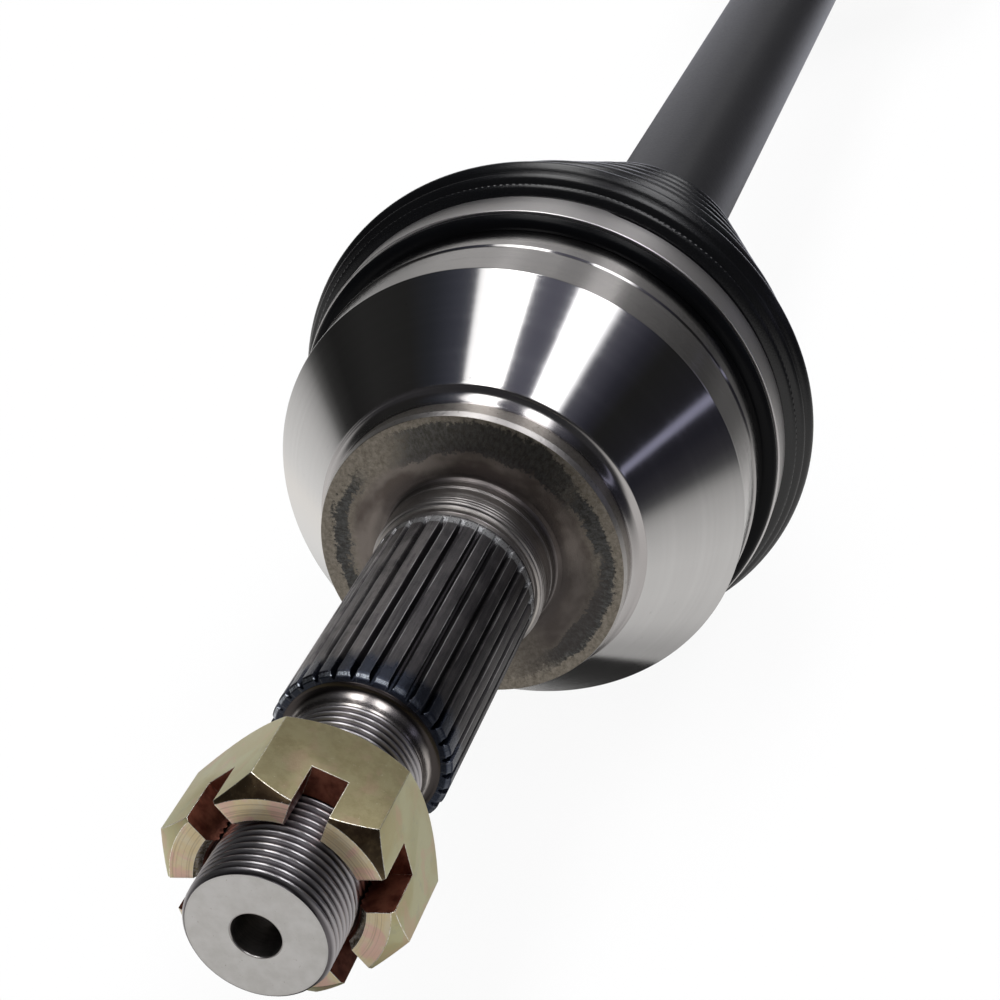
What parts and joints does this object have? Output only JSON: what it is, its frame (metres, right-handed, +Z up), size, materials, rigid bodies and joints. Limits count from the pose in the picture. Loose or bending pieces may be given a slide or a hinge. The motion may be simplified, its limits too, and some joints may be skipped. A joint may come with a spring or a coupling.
{
  "type": "cv axle",
  "caption": "Drive axle with a fixed ball joint and splined, threaded stub at the wheel end, a solid bar shaft and a plunging ball joint at the gearbox end.",
  "frame": {"origin": "on the axle's axis, in the plane of the shoulder the wheel hub seats on", "axes": "+X along the axle from the wheel end to the gearbox end, +Z up with the axle level, +Y completes the right-handed frame"},
  "size_m": [0.8416, 0.1118, 0.1118],
  "materials": {
    "machined_steel": "turned and polished",
    "zinc_nut": "yellow zinc plated",
    "hardened_steel": "ground, oiled",
    "ball_steel": "polished",
    "spring_steel": "dark phosphate",
    "boot_rubber": "satin moulded rubber",
    "clamp_steel": "satin stainless",
    "shaft_black": "satin black paint"
  },
  "bodies": {
    "inboard_housing": {"inboard_housing": "machined_steel", "inboard_retaining_ring": "spring_steel", "stub_circlip": "spring_steel", "inboard_large_clamp": "clamp_steel"},
    "inboard_side_balls": {"inboard_side_balls": "ball_steel"},
    "axle_shaft": {"axle_shaft": "shaft_black", "inboard_inner_race": "hardened_steel", "inboard_race_circlip": "spring_steel", "inboard_boot": "boot_rubber", "inboard_small_clamp": "clamp_steel", "outboard_inner_race": "hardened_steel", "outboard_race_circlip": "spring_steel", "outboard_side_balls": "ball_steel", "outboard_boot": "boot_rubber", "outboard_small_clamp": "clamp_steel"},
    "inboard_cage": {"inboard_cage": "hardened_steel"},
    "inboard_upper_balls": {"inboard_upper_balls": "ball_steel"},
    "inboard_lower_balls": {"inboard_lower_balls": "ball_steel"},
    "outboard_bell": {"outboard_bell": "machined_steel", "outboard_large_clamp": "clamp_steel"},
    "castle_nut": {"castle_nut": "zinc_nut"},
    "outboard_cage": {"outboard_cage": "hardened_steel"},
    "outboard_upper_left_ball": {"outboard_upper_left_ball": "ball_steel"},
    "outboard_upper_right_ball": {"outboard_upper_right_ball": "ball_steel"},
    "outboard_lower_left_ball": {"outboard_lower_left_ball": "ball_steel"},
    "outboard_lower_right_ball": {"outboard_lower_right_ball": "ball_steel"}
  },
  "joints": [
    {"name": "plunge", "type": "slide", "parent": "inboard_housing", "child": "inboard_side_balls", "axis": [1, 0, 0], "range_m": [-0.014, 0.014], "deforming": ["inboard_boot"]},
    {"name": "inboard_articulation", "type": "hinge", "parent": "inboard_side_balls", "child": "axle_shaft", "pos_m": [0.592, 0, 0], "axis": [0, 1, 0], "range_deg": [-20, 20], "deforming": ["inboard_boot"]},
    {"name": "inboard_cage_tilt", "type": "hinge", "parent": "inboard_side_balls", "child": "inboard_cage", "pos_m": [0.592, 0, 0], "axis": [0, 1, 0], "range_deg": [-10, 10]},
    {"name": "inboard_upper_balls_roll", "type": "slide", "parent": "inboard_side_balls", "child": "inboard_upper_balls", "axis": [1, 0, 0], "range_m": [-0.0045, 0.0045]},
    {"name": "inboard_lower_balls_roll", "type": "slide", "parent": "inboard_side_balls", "child": "inboard_lower_balls", "axis": [1, 0, 0], "range_m": [-0.0045, 0.0045]},
    {"name": "outboard_articulation", "type": "hinge", "parent": "axle_shaft", "child": "outboard_bell", "pos_m": [0.038, 0, 0], "axis": [0, 1, 0], "range_deg": [-42, 42], "deforming": ["outboard_boot"]},
    {"name": "outboard_cage_tilt", "type": "hinge", "parent": "axle_shaft", "child": "outboard_cage", "pos_m": [0.038, 0, 0], "axis": [0, 1, 0], "range_deg": [-21, 21]},
    {"name": "castle_nut_turn", "type": "hinge", "parent": "outboard_bell", "child": "castle_nut", "pos_m": [-0.0918, 0, 0], "axis": [1, 0, 0], "continuous": true},
    {"name": "outboard_upper_left_ball_roll", "type": "hinge", "parent": "axle_shaft", "child": "outboard_upper_left_ball", "pos_m": [0.038, 0, 0], "axis": [0, 0.866, -0.5], "range_deg": [-18.5, 18.5]},
    {"name": "outboard_upper_right_ball_roll", "type": "hinge", "parent": "axle_shaft", "child": "outboard_upper_right_ball", "pos_m": [0.038, 0, 0], "axis": [0, 0.866, 0.5], "range_deg": [-18.5, 18.5]},
    {"name": "outboard_lower_left_ball_roll", "type": "hinge", "parent": "axle_shaft", "child": "outboard_lower_left_ball", "pos_m": [0.038, 0, 0], "axis": [0, -0.866, -0.5], "range_deg": [-18.5, 18.5]},
    {"name": "outboard_lower_right_ball_roll", "type": "hinge", "parent": "axle_shaft", "child": "outboard_lower_right_ball", "pos_m": [0.038, 0, 0], "axis": [0, -0.866, 0.5], "range_deg": [-18.5, 18.5]}
  ],
  "couplings": [
    {"joint": "inboard_cage_tilt", "follows": "inboard_articulation", "ratio": 0.5},
    {"joint": "inboard_upper_balls_roll", "follows": "inboard_articulation", "m_per_rad": 0.01262},
    {"joint": "inboard_lower_balls_roll", "follows": "inboard_articulation", "m_per_rad": -0.01262},
    {"joint": "outboard_cage_tilt", "follows": "outboard_articulation", "ratio": 0.5},
    {"joint": "outboard_upper_left_ball_roll", "follows": "outboard_articulation", "ratio": 0.436},
    {"joint": "outboard_upper_right_ball_roll", "follows": "outboard_articulation", "ratio": 0.436},
    {"joint": "outboard_lower_left_ball_roll", "follows": "outboard_articulation", "ratio": -0.436},
    {"joint": "outboard_lower_right_ball_roll", "follows": "outboard_articulation", "ratio": -0.436}
  ]
}
